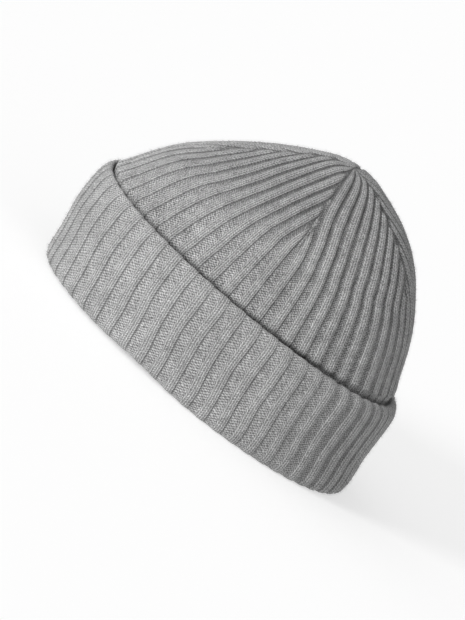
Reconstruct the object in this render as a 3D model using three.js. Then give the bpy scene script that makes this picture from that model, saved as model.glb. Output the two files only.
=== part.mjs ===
// Fisherman beanie: a ribbed knit crown with a deep turned-up cuff, folded double.
// Millimetres, +Z up. The beanie stands on the fold at the foot of its cuff, where z is 0.
// +X runs along the long way of the head opening, front to back.
import * as THREE from "three";
import { mergeVertices } from "three/addons/utils/BufferGeometryUtils.js";

// Driving sizes
const CUFF_HEIGHT = 61;
const CUFF_HALF_LENGTH = 103.6;
const CUFF_HALF_WIDTH = 87;
const CUFF_THICKNESS = 7.4;
const CROWN_RISE = 81.5;
const KNIT_THICKNESS = 3;
const RIB_DEPTH = 1.6;
const CROWN_RIB_DEPTH = 1.5;
const LAYER_GAP = 0.4;
const FOLD_HEIGHT = 5;
const CUFF_FRONT_LIFT = 2;
const RIBS = 52;

// The yarn
const YARN_COLOUR = 0x8b8b8b;
const YARN_ROUGHNESS = 0.95;

// Where the first groove of each piece stands on its oval, and the way the crown's high side faces
const CUFF_GROOVE_DEG = -104.8;
const CROWN_GROOVE_DEG = -100.2;
const HIGH_SIDE_DEG = 35;

// The crown's base is what the cuff leaves inside it.
const CROWN_HALF_LENGTH = CUFF_HALF_LENGTH - CUFF_THICKNESS - LAYER_GAP;
const CROWN_HALF_WIDTH = CUFF_HALF_WIDTH - CUFF_THICKNESS - LAYER_GAP;

// Rings of the cuff, foot to top. up is a share of CUFF_HEIGHT, size of both half sizes,
// and x and y, the ring's middle, are shares of CUFF_HALF_LENGTH.
const CUFF_RINGS = [
  { up: 0.0, size: 0.985, x: 0.029, y: -0.009 },
  { up: 0.1, size: 0.99, x: 0.026, y: -0.008 },
  { up: 0.22, size: 0.991, x: 0.018, y: -0.006 },
  { up: 0.38, size: 0.993, x: 0.003, y: -0.001 },
  { up: 0.55, size: 1.0, x: -0.01, y: 0.003 },
  { up: 0.75, size: 1.0, x: -0.017, y: 0.005 },
  { up: 1.0, size: 1.0, x: -0.02, y: 0.006 },
];

// Rings of the crown, cuff to tip. along is the share of the way up the cloth, up a share of
// CROWN_RISE, length and width shares of the crown's half sizes, x and y, the ring's middle,
// shares of CROWN_HALF_LENGTH, and tilt the degrees by which the high side is lifted.
const CROWN_RINGS = [
  { along: 0.0, up: 0.0, length: 1.0, width: 1.0, x: -0.034, y: 0.011, tilt: -0.8 },
  { along: 0.125, up: 0.172, length: 0.936, width: 0.933, x: -0.028, y: -0.002, tilt: -0.2 },
  { along: 0.263, up: 0.358, length: 0.845, width: 0.84, x: -0.024, y: -0.02, tilt: 1.0 },
  { along: 0.404, up: 0.528, length: 0.725, width: 0.725, x: -0.023, y: -0.038, tilt: 3.6 },
  { along: 0.531, up: 0.675, length: 0.593, width: 0.604, x: -0.027, y: -0.057, tilt: 6.5 },
  { along: 0.655, up: 0.798, length: 0.446, width: 0.464, x: -0.035, y: -0.072, tilt: 8.5 },
  { along: 0.787, up: 0.91, length: 0.272, width: 0.295, x: -0.044, y: -0.083, tilt: 9.5 },
  { along: 0.881, up: 0.975, length: 0.155, width: 0.17, x: -0.049, y: -0.087, tilt: 9.5 },
  { along: 1.0, up: 1.0, length: 0.0, width: 0.0, x: -0.057, y: -0.088, tilt: 9.0 },
];

// Lines up the crown on which ribs are decreased. at is a share of the round, and lost_before
// and lost_after are shares of the ribs on either side that end on the line before the tip.
const DECREASE_LINES = [
  { at: 0.0, lost_before: 0.29, lost_after: 0.09 },
  { at: 0.212, lost_before: 0.59, lost_after: 0.29 },
  { at: 0.481, lost_before: 0.43, lost_after: 0.4 },
  { at: 0.769, lost_before: 0.3, lost_after: 0.46 },
];

// How the decreases go on. along is the share of the way up the cloth, lost the share of
// a line's losses reached there, and drift the ribs by which the lines wander round.
const DECREASES = [
  { along: 0.0, lost: 0.0, drift: 0.0 },
  { along: 0.386, lost: 0.0, drift: -0.33 },
  { along: 0.48, lost: 0.09, drift: -0.36 },
  { along: 0.566, lost: 0.22, drift: -0.4 },
  { along: 0.64, lost: 0.38, drift: -0.55 },
  { along: 0.7, lost: 0.52, drift: -0.75 },
  { along: 0.745, lost: 0.63, drift: -0.85 },
  { along: 0.8, lost: 0.76, drift: -0.95 },
  { along: 0.87, lost: 0.9, drift: -1.2 },
  { along: 0.95, lost: 1.0, drift: -1.85 },
  { along: 1.0, lost: 1.0, drift: -2.2 },
];

// One rib of the knit: at is the share of the rib's width, high the share of its depth.
const RIB_PROFILE = [
  { at: 0.16, high: 0 },
  { at: 0.32, high: 1 },
  { at: 0.68, high: 1 },
  { at: 0.84, high: 0 },
];

// Section of the ribbed outside of the cuff, foot to top. across goes from the crown, 0, to
// the outside, 1, up is a share of CUFF_HEIGHT, and relief a share of RIB_DEPTH.
const CUFF_OUTSIDE = [
  { across: 0.35, up: 0.0, relief: 0.0 },
  { across: 0.76, up: 0.014, relief: 0.6 },
  { across: 0.95, up: 0.045, relief: 1.0 },
  { across: 1.0, up: 0.1, relief: 1.0 },
  { across: 1.0, up: 0.31, relief: 1.0 },
  { across: 1.0, up: 0.53, relief: 1.0 },
  { across: 1.0, up: 0.72, relief: 1.0 },
  { across: 0.96, up: 0.83, relief: 1.0 },
  { across: 0.83, up: 0.905, relief: 1.0 },
  { across: 0.54, up: 0.963, relief: 1.0 },
  { across: 0.24, up: 0.972, relief: 0.8 },
];

// Shares of CUFF_HEIGHT at which the crown's wall and the plain inside of the cuff both have
// a row, top to bottom, so that the gap between them stays even. The crown is ribbed above.
const WALL_ROWS = [0.88, 0.78, 0.5];

// Section of the fold under the crown's rim. inward is a share of KNIT_THICKNESS, from the
// crown's outside into the hollow, and up a share of FOLD_HEIGHT.
const FOLD_INSIDE = [
  { inward: 1.0, up: 1.0 },
  { inward: 1.05, up: 0.5 },
  { inward: 0.75, up: 0.12 },
  { inward: 0.35, up: 0.0 },
];

// Shares of the way up the cloth at which the crown's rows lie
const CROWN_ROWS = [0, 0.13, 0.26, 0.386, 0.46, 0.53, 0.6, 0.67, 0.74, 0.81, 0.875, 0.93, 0.97];
const CROWN_LINING_ROWS = [0.96, 0.85, 0.72, 0.58, 0.44, 0.3, 0.15, 0];

// A smooth curve through the rows of a table, as a function that gives all its columns.
function smoothTable(rows, key) {
  const columns = Object.keys(rows[0]).filter((name) => name !== key);
  const values = rows.flatMap((row) => columns.map((name) => row[name]));
  const curve = new THREE.CubicInterpolant(rows.map((row) => row[key]), values, columns.length);
  return (at) => {
    const found = curve.evaluate(at);
    return Object.fromEntries(columns.map((name, index) => [name, found[index]]));
  };
}

const cuffRing = smoothTable(CUFF_RINGS, "up");
const crownRing = smoothTable(CROWN_RINGS, "along");

// Straight lines between the rows of the decrease table
function decreaseAt(along) {
  const next = Math.max(1, DECREASES.findIndex((row) => row.along >= along));
  const low = DECREASES[next - 1];
  const high = DECREASES[next];
  const share = (along - low.along) / (high.along - low.along);
  return {
    lost: THREE.MathUtils.lerp(low.lost, high.lost, share),
    drift: THREE.MathUtils.lerp(low.drift, high.drift, share),
  };
}

// The angle on an oval that lies a given share of its girth after a starting angle.
const GIRTH_STEPS = 720;
function ovalAngle(ratio, startDegrees, share) {
  const start = THREE.MathUtils.degToRad(startDegrees);
  const step = (2 * Math.PI) / GIRTH_STEPS;
  const speed = (angle) => Math.hypot(Math.sin(angle), ratio * Math.cos(angle));
  const lengths = [0];
  for (let index = 0; index < GIRTH_STEPS; index += 1) {
    lengths.push(lengths[index] + speed(start + (index + 0.5) * step) * step);
  }
  const turns = Math.floor(share);
  const wanted = (share - turns) * lengths[GIRTH_STEPS];
  const next = Math.max(1, lengths.findIndex((length) => length >= wanted));
  const part = (wanted - lengths[next - 1]) / (lengths[next] - lengths[next - 1]);
  return start + (next - 1 + part) * step + turns * 2 * Math.PI;
}

// A point of an oval ring, moved out along the ring's own normal.
function ovalPoint(oval, angle, out) {
  const normal = new THREE.Vector2(oval.width * Math.cos(angle), oval.length * Math.sin(angle));
  normal.normalize();
  return new THREE.Vector3(
    oval.x + oval.length * Math.cos(angle) + normal.x * out,
    oval.y + oval.width * Math.sin(angle) + normal.y * out,
    oval.z,
  );
}

// The outside of the cuff at a share of its height
function cuffOval(up) {
  const ring = cuffRing(up);
  return {
    x: ring.x * CUFF_HALF_LENGTH,
    y: ring.y * CUFF_HALF_LENGTH,
    z: up * CUFF_HEIGHT,
    length: ring.size * CUFF_HALF_LENGTH,
    width: ring.size * CUFF_HALF_WIDTH,
  };
}

// The outside of the crown's wall where it stands inside the cuff: the cuff's own oval, less
// the cuff, with its middle passing over to that of the crown's first ring.
function innerOval(up) {
  const oval = cuffOval(up);
  const top = cuffOval(1);
  const first = crownRing(0);
  oval.x += (first.x * CROWN_HALF_LENGTH - top.x) * up;
  oval.y += (first.y * CROWN_HALF_LENGTH - top.y) * up;
  oval.length -= CUFF_THICKNESS + LAYER_GAP;
  oval.width -= CUFF_THICKNESS + LAYER_GAP;
  return oval;
}

// A point of the crown above the cuff: the ring at a share of the way up the cloth, an angle
// round it, and the depth under the surface, along the surface's normal.
const SLOPE_STEP = 0.01;
function crownPoint(along, angle, depth) {
  const ring = crownRing(along);
  const below = crownRing(Math.max(0, along - SLOPE_STEP));
  const above = crownRing(Math.min(1, along + SLOPE_STEP));
  const rise = (above.up - below.up) * CROWN_RISE;
  const narrowing = (below.length - above.length) * CROWN_HALF_LENGTH;
  const slope = Math.atan2(narrowing, rise);
  const oval = {
    x: ring.x * CROWN_HALF_LENGTH,
    y: ring.y * CROWN_HALF_LENGTH,
    z: CUFF_HEIGHT + ring.up * CROWN_RISE,
    length: ring.length * CROWN_HALF_LENGTH,
    width: ring.width * CROWN_HALF_WIDTH,
  };
  const inset = Math.min(depth * Math.cos(slope), oval.width);
  const point = ovalPoint(oval, angle, -inset);
  const highSide = THREE.MathUtils.degToRad(HIGH_SIDE_DEG);
  const sideways = (point.x - oval.x) * Math.cos(highSide) + (point.y - oval.y) * Math.sin(highSide);
  point.z += sideways * Math.tan(THREE.MathUtils.degToRad(ring.tilt)) - depth * Math.sin(slope);
  return point;
}

// The angle of a place on one ring of the crown, counted in ribs from the first groove
function crownAngle(along, ribs) {
  const ring = crownRing(Math.min(along, 0.98));
  const ratio = (ring.width * CROWN_HALF_WIDTH) / (ring.length * CROWN_HALF_LENGTH);
  return ovalAngle(ratio, CROWN_GROOVE_DEG, ribs / RIBS);
}

// One ribbed ring of the crown. Between two decrease lines the ribs left are spread evenly,
// and a rib that has ended lies on its line, in the groove there.
function crownRow(along, place) {
  const { lost, drift } = decreaseAt(along);
  const starts = DECREASE_LINES.map((line) => Math.round(line.at * RIBS));
  const row = [];
  DECREASE_LINES.forEach((line, index) => {
    const next = (index + 1) % DECREASE_LINES.length;
    const from = starts[index];
    const to = next === 0 ? RIBS : starts[next];
    const left = from + lost * line.lost_after * (to - from);
    const right = to - lost * DECREASE_LINES[next].lost_before * (to - from);
    for (let rib = from; rib < to; rib += 1) {
      for (const { at, high } of RIB_PROFILE) {
        const ended = rib + at <= left || rib + at >= right;
        const inside = THREE.MathUtils.clamp(rib + at, left, right);
        const spread = from + ((inside - left) / (right - left)) * (to - from);
        const ribWidth = (right - left) / (to - from);
        row.push(place(spread + drift, ended ? 0 : high, 1 / ribWidth));
      }
    }
  });
  return row;
}

// The crown's outside, ribbed. Ribs grow shallower with the girth they have left.
function crownOutside(along) {
  const girth = Math.max(crownRing(along).length, 0.1);
  return crownRow(along, (ribs, high, spreading) => {
    const deep = CROWN_RIB_DEPTH * Math.min(1, Math.sqrt(girth * spreading));
    return crownPoint(along, crownAngle(along, ribs), deep * (1 - high));
  });
}

// Closed skin over a list of rings, each bridged to the next; a ring may have one point, or
// a whole number of times the points of its neighbour.
function skin(rings, closed) {
  const positions = [];
  const corner = (ring, index, steps) => ring[Math.floor((index * ring.length) / steps) % ring.length];
  const last = closed ? rings.length : rings.length - 1;
  for (let row = 0; row < last; row += 1) {
    const low = rings[row];
    const high = rings[(row + 1) % rings.length];
    const steps = Math.max(low.length, high.length);
    for (let index = 0; index < steps; index += 1) {
      const quad = [
        corner(low, index, steps),
        corner(low, index + 1, steps),
        corner(high, index + 1, steps),
        corner(high, index, steps),
      ];
      for (const order of [[0, 1, 2], [0, 2, 3]]) {
        order.forEach((place) => positions.push(...quad[place].toArray()));
      }
    }
  }
  const geometry = new THREE.BufferGeometry();
  geometry.setAttribute("position", new THREE.Float32BufferAttribute(positions, 3));
  return withoutFlatFaces(mergeVertices(geometry, 1e-3));
}

// Drops the triangles whose corners were merged into one.
function withoutFlatFaces(geometry) {
  const index = Array.from(geometry.index.array);
  const kept = [];
  for (let at = 0; at < index.length; at += 3) {
    const [a, b, c] = index.slice(at, at + 3);
    if (a !== b && b !== c && c !== a) {
      kept.push(a, b, c);
    }
  }
  geometry.setIndex(kept);
  geometry.computeVertexNormals();
  return geometry;
}

function ringOf(count, place) {
  return Array.from({ length: count }, (_, index) => place(index));
}

const CUFF_RATIO = CUFF_HALF_WIDTH / CUFF_HALF_LENGTH;
const cuffAngle = (ribs) => ovalAngle(CUFF_RATIO, CUFF_GROOVE_DEG, ribs / RIBS);

// Crown: the body of the beanie, from its tip down inside the cuff to the fold.
function crown() {
  const rimUp = (FOLD_HEIGHT + LAYER_GAP) / CUFF_HEIGHT;
  const wall = (up, depth) => ringOf(RIBS, (rib) => ovalPoint(innerOval(up), cuffAngle(rib), -depth));
  const lining = (along) =>
    ringOf(RIBS, (rib) => crownPoint(along, crownAngle(along, rib), KNIT_THICKNESS));
  const tip = (depth) => [crownPoint(1, 0, depth)];
  const ribbedWall = crownRow(0, (ribs, high) =>
    ovalPoint(innerOval(WALL_ROWS[0]), crownAngle(0, ribs), CROWN_RIB_DEPTH * (high - 1)),
  );
  const plainRows = WALL_ROWS.slice(1);
  return skin([
    tip(KNIT_THICKNESS),
    ...CROWN_LINING_ROWS.map(lining),
    wall(WALL_ROWS.at(-1), KNIT_THICKNESS),
    wall(rimUp, KNIT_THICKNESS),
    wall(rimUp, 0),
    ...plainRows.toReversed().map((up) => wall(up, 0)),
    ribbedWall,
    ...CROWN_ROWS.map(crownOutside),
    tip(0),
  ], false);
}

// A point of the cuff: between the crown's wall and the cuff's own outside.
function cuffPoint(across, up, angle) {
  const inside = ovalPoint(innerOval(up), angle, LAYER_GAP);
  const outside = ovalPoint(cuffOval(up), angle, 0);
  const point = inside.lerp(outside, across);
  point.z -= CUFF_FRONT_LIFT * Math.cos(angle) * up * up;
  return point;
}

// The way the ribbed outside faces at one row of its section: out and up.
function sectionNormal(row) {
  const below = CUFF_OUTSIDE[Math.max(0, row - 1)];
  const above = CUFF_OUTSIDE[Math.min(CUFF_OUTSIDE.length - 1, row + 1)];
  const out = (above.up - below.up) * CUFF_HEIGHT;
  const up = (below.across - above.across) * CUFF_THICKNESS;
  return new THREE.Vector2(out, up).normalize();
}

// Cuff: the turned-up band, folded double, with its rounded top and the fold at its foot.
function cuff() {
  const outside = CUFF_OUTSIDE.map(({ across, up, relief }, row) => {
    const facing = sectionNormal(row);
    return ringOf(RIBS * RIB_PROFILE.length, (index) => {
      const { at, high } = RIB_PROFILE[index % RIB_PROFILE.length];
      const angle = cuffAngle(Math.floor(index / RIB_PROFILE.length) + at);
      const depth = RIB_DEPTH * relief * (1 - high);
      const point = cuffPoint(across, up, angle);
      point.x -= Math.cos(angle) * facing.x * depth;
      point.y -= Math.sin(angle) * facing.x * depth;
      point.z -= facing.y * depth;
      return point;
    });
  });
  const inside = [...WALL_ROWS, FOLD_HEIGHT / CUFF_HEIGHT].map((up) =>
    ringOf(RIBS, (rib) => ovalPoint(innerOval(up), cuffAngle(rib), LAYER_GAP)),
  );
  const fold = FOLD_INSIDE.map(({ inward, up }) => ringOf(RIBS, (rib) => {
    const oval = innerOval((up * FOLD_HEIGHT) / CUFF_HEIGHT);
    return ovalPoint(oval, cuffAngle(rib), -inward * KNIT_THICKNESS);
  }));
  return skin([...outside, ...inside, ...fold], true);
}

function yarn(shade) {
  const color = new THREE.Color(YARN_COLOUR).multiplyScalar(shade);
  return new THREE.MeshStandardMaterial({ color, roughness: YARN_ROUGHNESS, metalness: 0 });
}

const CROWN_SHADE = 0.97;
const beanie = new THREE.Group();
const crownMesh = new THREE.Mesh(crown(), yarn(CROWN_SHADE));
crownMesh.name = "crown";
const cuffMesh = new THREE.Mesh(cuff(), yarn(1));
cuffMesh.name = "cuff";
beanie.add(crownMesh, cuffMesh);

// The origin is under the middle of the whole, on the surface that it stands on.
const extent = new THREE.Box3().setFromObject(beanie, true);
const middle = extent.getCenter(new THREE.Vector3());
beanie.position.set(-middle.x, -middle.y, -extent.min.z);

export default beanie;
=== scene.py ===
# %% [markdown]
# # A fisherman beanie in rib knit
# The cap is one tube of knitting, two stitches plain and two purl all the way round, gathered
# at the tip by four lines of decreases and turned up at the foot into a deep double cuff.
# This lesson builds its two visible surfaces as grids worked out with numpy, gives every
# stitch its own relief, and finishes them with the look of a soft heather wool.

# %% Load the frame that the solid model gives
import math

import bpy
import numpy as np
from mathutils import Matrix, Vector


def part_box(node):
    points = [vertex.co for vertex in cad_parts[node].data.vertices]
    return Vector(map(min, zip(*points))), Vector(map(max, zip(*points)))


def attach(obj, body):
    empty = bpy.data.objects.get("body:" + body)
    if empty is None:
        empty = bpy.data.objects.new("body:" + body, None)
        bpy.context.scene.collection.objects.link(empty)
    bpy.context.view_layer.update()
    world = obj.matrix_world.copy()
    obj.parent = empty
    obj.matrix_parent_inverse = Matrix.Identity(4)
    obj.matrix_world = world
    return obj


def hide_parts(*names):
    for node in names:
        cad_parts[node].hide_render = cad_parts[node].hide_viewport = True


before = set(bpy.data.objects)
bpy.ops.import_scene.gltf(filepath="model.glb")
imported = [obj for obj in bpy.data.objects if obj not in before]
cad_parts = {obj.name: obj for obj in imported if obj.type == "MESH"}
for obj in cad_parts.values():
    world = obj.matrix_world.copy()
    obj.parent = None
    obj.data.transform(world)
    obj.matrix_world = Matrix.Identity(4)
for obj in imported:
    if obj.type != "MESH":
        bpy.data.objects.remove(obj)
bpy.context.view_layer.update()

# every length is in metres, unless a comment says otherwise
CUFF_HEIGHT = 0.061
CUFF_HALF_LENGTH = 0.1036
CUFF_HALF_WIDTH = 0.087
CUFF_THICKNESS = 0.0074
CROWN_RISE = 0.0815
KNIT_THICKNESS = 0.003
LAYER_GAP = 0.0002
FOLD_HEIGHT = 0.005
CUFF_FRONT_LIFT = 0.002
RIBS = 52
COURSE_HEIGHT = 0.00148
CUFF_GROOVE = math.radians(-104.8)
CROWN_GROOVE = math.radians(-100.2)
HIGH_SIDE = math.radians(35)
CROWN_HALF_LENGTH = CUFF_HALF_LENGTH - CUFF_THICKNESS - LAYER_GAP
CROWN_HALF_WIDTH = CUFF_HALF_WIDTH - CUFF_THICKNESS - LAYER_GAP

# %% [markdown]
# ## The shape in short tables
# A knitted cap has no drawing, but it has rings: an oval at each height, each a little
# narrower, shifted or tilted than the one below. Lofting through a few chosen rings is how a
# maker would block it on a form. The tables hold shares of the sizes above, and a smooth curve
# runs through their rows, so a new size reshapes the whole cap.

# %% Rings of the cuff and the crown
# share of the cuff's height, size, and the middle's x and y as shares of the half length
CUFF_RINGS = np.array([
    (0.00, 0.985, 0.029, -0.009),
    (0.10, 0.990, 0.026, -0.008),
    (0.22, 0.991, 0.018, -0.006),
    (0.38, 0.993, 0.003, -0.001),
    (0.55, 1.000, -0.010, 0.003),
    (0.75, 1.000, -0.017, 0.005),
    (1.00, 1.000, -0.020, 0.006),
])
# share of the way up the cloth, share of the rise, length, width, middle x, y, tilt in degrees
CROWN_RINGS = np.array([
    (0.000, 0.000, 1.000, 1.000, -0.034, 0.011, -0.8),
    (0.125, 0.172, 0.936, 0.933, -0.028, -0.002, -0.2),
    (0.263, 0.358, 0.845, 0.840, -0.024, -0.020, 1.0),
    (0.404, 0.528, 0.725, 0.725, -0.023, -0.038, 3.6),
    (0.531, 0.675, 0.593, 0.604, -0.027, -0.057, 6.5),
    (0.655, 0.798, 0.446, 0.464, -0.035, -0.072, 8.5),
    (0.787, 0.910, 0.272, 0.295, -0.044, -0.083, 9.5),
    (0.881, 0.975, 0.155, 0.170, -0.049, -0.087, 9.5),
    (1.000, 1.000, 0.000, 0.000, -0.057, -0.088, 9.0),
])


def smooth(table, at):
    """Curve through a table's rows: a cubic between two rows whose slopes at the rows are
    those of the chord between their neighbours. Gives one column per column of the table."""
    key, values = table[:, 0], table[:, 1:]
    slopes = np.gradient(values, key, axis=0)
    at = np.asarray(at, float)
    low = np.clip(np.searchsorted(key, at) - 1, 0, len(key) - 2)
    step = (key[low + 1] - key[low])[..., None]
    t = ((at - key[low])[..., None]) / step
    return (
        (2 * t**3 - 3 * t**2 + 1) * values[low]
        + (t**3 - 2 * t**2 + t) * step * slopes[low]
        + (3 * t**2 - 2 * t**3) * values[low + 1]
        + (t**3 - t**2) * step * slopes[low + 1]
    )


half_way = smooth(CROWN_RINGS, 0.5)[1] * CROWN_HALF_LENGTH
print("half length half way up the crown, mm:", round(half_way * 1000, 1))

# %% [markdown]
# ## Ribs spaced by girth
# Ribs stand at equal distances along the cloth, not at equal angles, so near the ends of the
# oval they would bunch up if the angle were simply divided. The girth is summed round each
# oval and read backwards, from a share of the girth to the angle that reaches it.

# %% Angle from a share of the girth
GIRTH_STEPS = 1440


def girth_angle(ratio, share, start):
    """Angle on an oval, width over length = ratio, that lies a share of its girth after the
    starting angle. The speed round the oval is hypot(sin, ratio * cos), summed and inverted."""
    steps = start + np.linspace(0, 2 * np.pi, GIRTH_STEPS + 1)
    middles = (steps[1:] + steps[:-1]) / 2
    turns = np.floor(share)
    rows = []
    for row_ratio, row_share, row_turns in zip(ratio, share, turns):
        speed = np.hypot(np.sin(middles), row_ratio * np.cos(middles))
        length = np.concatenate([[0], np.cumsum(speed)])
        within = np.interp((row_share - row_turns) * length[-1], length, steps)
        rows.append(within + row_turns * 2 * np.pi)
    return np.array(rows)


def oval(middle_x, middle_y, length, width, angle):
    """Points of ovals and their level normals: middle + (length cos, width sin), and the
    normal (width cos, length sin) made one long. All arrays are rows by columns."""
    x = middle_x + length * np.cos(angle)
    y = middle_y + width * np.sin(angle)
    nx, ny = width * np.cos(angle), length * np.sin(angle)
    long = np.hypot(nx, ny) + 1e-12
    return x, y, nx / long, ny / long


# %% [markdown]
# ## One rib of the knit, column by column
# Two plain wales stand up side by side, each a stack of little V stitches with two legs, and
# two purl wales lie low between them with the round heads of their loops. Fourteen columns of
# the grid carry one rib: an edge and two legs for a plain wale, the loops for a purl one. Two
# rows carry one course, so the relief steps up and down once per stitch. Slack ribs close
# like a bellows: the plain wales swell to a round cord and the purl ones sink from sight.

# %% The rib's columns and their heights
# share of the rib's width, wale, share of the depth when the rib is open and when it is
# closed, the stitch's own height in mm at its foot and at its head, and extra shade
RIB_COLUMNS = np.array([
    (0.000, 3.00, 1.00, 1.00, 0.05, -0.06, 0.0),
    (0.090, 3.33, 0.98, 0.97, -0.06, 0.05, 0.0),
    (0.180, 3.67, 0.88, 0.85, 0.05, -0.06, 0.0),
    (0.255, 4.00, 0.62, 0.62, -0.20, -0.15, 0.0),
    (0.315, 4.25, 0.12, 0.30, -0.08, 0.00, 0.0),
    (0.377, 4.50, 0.06, 0.13, -0.30, -0.22, 0.0),
    (0.438, 4.75, 0.00, 0.03, -0.08, 0.00, 0.0),
    (0.500, 5.00, 0.00, 0.00, -0.34, -0.26, 0.0),
    (0.562, 5.25, 0.00, 0.03, -0.08, 0.00, 0.0),
    (0.623, 5.50, 0.06, 0.13, -0.30, -0.22, 0.0),
    (0.685, 5.75, 0.10, 0.30, -0.08, 0.00, 0.0),
    (0.740, 6.00, 1.10, 0.80, -0.20, -0.15, 0.32),
    (0.815, 6.33, 1.02, 0.90, 0.05, -0.06, 0.08),
    (0.910, 6.67, 1.00, 0.97, -0.06, 0.05, 0.0),
])
WALES_PER_RIB = 4
OPEN_EDGES = (0, 0.255, 0.74, 1)
CLOSED_EDGES = (0, 0.12, 0.88, 1)
COLUMNS = RIBS * len(RIB_COLUMNS)
column_rib = np.repeat(np.arange(RIBS), len(RIB_COLUMNS)) + np.tile(RIB_COLUMNS[:, 0], RIBS)
next_rib = np.append(column_rib[1:], RIBS)


def by_rib(rib, column, step=0.0):
    """A column of the rib's table at a place counted in ribs, by straight lines between its
    rows. The value grows by step from one rib to the next."""
    at = np.append(RIB_COLUMNS[:, 0], 1.0)
    values = np.append(RIB_COLUMNS[:, column], RIB_COLUMNS[0, column] + step)
    whole = np.floor(rib)
    return whole * step + np.interp(rib - whole, at, values)


def wale_of(rib):
    """Wale number at a place counted in ribs."""
    return by_rib(rib, 1, WALES_PER_RIB)


def closed_rib(rib, close):
    """Place in ribs once the rib has closed: the plain wales take more of the width."""
    whole = np.floor(rib)
    part = rib - whole
    return whole + part + (np.interp(part, OPEN_EDGES, CLOSED_EDGES) - part) * close


def stitch_height(rib, head, depth, close):
    """Height in millimetres, 0 at the crest: minus the rib's depth times the share for open
    and closed ribs, plus the stitch's own height, foot or head as head goes from 0 to 1."""
    low = by_rib(rib, 2) * (1 - close) + by_rib(rib, 3) * close
    own = by_rib(rib, 4) * (1 - head) + by_rib(rib, 5) * head
    return own - depth * low


print("grid columns round the cap:", COLUMNS)

# %% [markdown]
# ## From a grid to a closed mesh
# Every surface here is a grid of rows by columns that closes round the cap. Where ribs end on
# a decrease line their columns meet in one point, and at the tip all of them do. Merging equal
# points and leaving out the corners that repeat turns such quads into triangles or nothing,
# so the skin stays closed without any special case.

# %% Grid to mesh
MERGE_STEP = 2e-7


def add_object(name, data):
    """An object for a mesh, light or camera, at the origin and in the scene's collection."""
    thing = bpy.data.objects.new(name, data)
    bpy.context.scene.collection.objects.link(thing)
    return thing


def grid_mesh(name, points, wale_left, wale_right, course, depth, ring_closed):
    """Mesh from a grid of points, rows x columns x 3. Each quad joins a column to the next and
    a row to the next; ring_closed also joins the last row to the first. Corners whose point is
    the one before are left out, and faces with fewer than three corners are dropped."""
    rows, columns = points.shape[:2]
    flat = points.reshape(-1, 3)
    keys = np.round(flat / MERGE_STEP).astype(np.int64)
    _, first, merged = np.unique(keys, axis=0, return_index=True, return_inverse=True)
    merged = merged.reshape(rows, columns)
    low = np.arange(rows if ring_closed else rows - 1)
    high = (low + 1) % rows
    left = np.arange(columns)
    right = (left + 1) % columns
    quads = np.stack([
        merged[low][:, left], merged[low][:, right], merged[high][:, right], merged[high][:, left],
    ], axis=-1).reshape(-1, 4)
    across = np.stack([wale_left[low], wale_right[low], wale_right[high], wale_left[high]], axis=-1)
    high_course = np.where(high > low, course[high], course[low] + 1)
    along = np.stack([course[low], course[low], high_course, high_course], axis=-1)
    along = np.repeat(along[:, None, :], columns, axis=1)
    kept = quads != np.roll(quads, 1, axis=1)
    counts = kept.sum(axis=1)
    kept[counts < 3] = False
    counts = counts[counts >= 3]
    mesh = bpy.data.meshes.new(name)
    mesh.vertices.add(len(first))
    mesh.vertices.foreach_set("co", flat[first].ravel())
    mesh.loops.add(int(counts.sum()))
    mesh.loops.foreach_set("vertex_index", quads[kept])
    mesh.polygons.add(len(counts))
    mesh.polygons.foreach_set("loop_start", np.concatenate([[0], np.cumsum(counts)[:-1]]))
    mesh.polygons.foreach_set("use_smooth", np.ones(len(counts), bool))
    layer = mesh.uv_layers.new(name="stitches")
    pairs = np.stack([across.reshape(-1, 4)[kept], along.reshape(-1, 4)[kept]], axis=-1)
    layer.data.foreach_set("uv", pairs.ravel())
    # depth carries the painted shade of each point, kept as an attribute that darkens the wool's colour
    painted_shade = mesh.attributes.new("painted_shade", "FLOAT", "POINT")
    painted_shade.data.foreach_set("value", depth.reshape(-1)[first].astype(np.float32))
    mesh.update()
    mesh.validate()
    triangles = int((counts - 2).sum())
    print(name, "points", len(first), "triangles", triangles)
    return add_object(name, mesh)


# %% [markdown]
# ## The decrease lines
# A ribbed cap is closed by knitting stitches together on a few lines that run up to the tip.
# The ribs beside a line end on it one after another, like barbs on a feather, and the ribs
# left over spread out between the lines. Each sector between two lines is therefore a strip
# whose left and right ends move inwards, counted in ribs, as the cloth goes up.

# %% Lines and losses
# share of the round, share of the ribs lost before and after the line, and by when those
# after it are lost
DECREASE_LINES = np.array([
    (0.000, 0.34, 0.09, 0.74),
    (0.212, 0.69, 0.34, 1.00),
    (0.481, 0.51, 0.47, 1.00),
    (0.769, 0.35, 0.54, 1.00),
])
# share of the way up the cloth, share of the losses reached, ribs by which the lines wander
DECREASES = np.array([
    (0.000, 0.000, 0.00),
    (0.386, 0.000, -0.30),
    (0.480, 0.085, -0.37),
    (0.566, 0.187, -0.46),
    (0.640, 0.315, -0.58),
    (0.700, 0.432, -0.71),
    (0.745, 0.525, -0.83),
    (0.800, 0.645, -1.01),
    (0.870, 0.790, -1.31),
    (0.950, 0.960, -1.80),
    (1.000, 1.000, -2.20),
])
FIRST_DECREASE = DECREASES[1, 0]
FIRST_LOSS = 0.3
line_start = np.round(DECREASE_LINES[:, 0] * RIBS)
sector = np.searchsorted(line_start, column_rib + 1e-9, side="right") - 1
sector_from = line_start[sector]
sector_to = np.append(line_start[1:], RIBS)[sector]
sector_ribs = sector_to - sector_from


def smooth_step(value):
    """0 below 0, 1 above 1, and 3 v squared minus 2 v cubed between them."""
    value = np.clip(value, 0, 1)
    return value * value * (3 - 2 * value)


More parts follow.
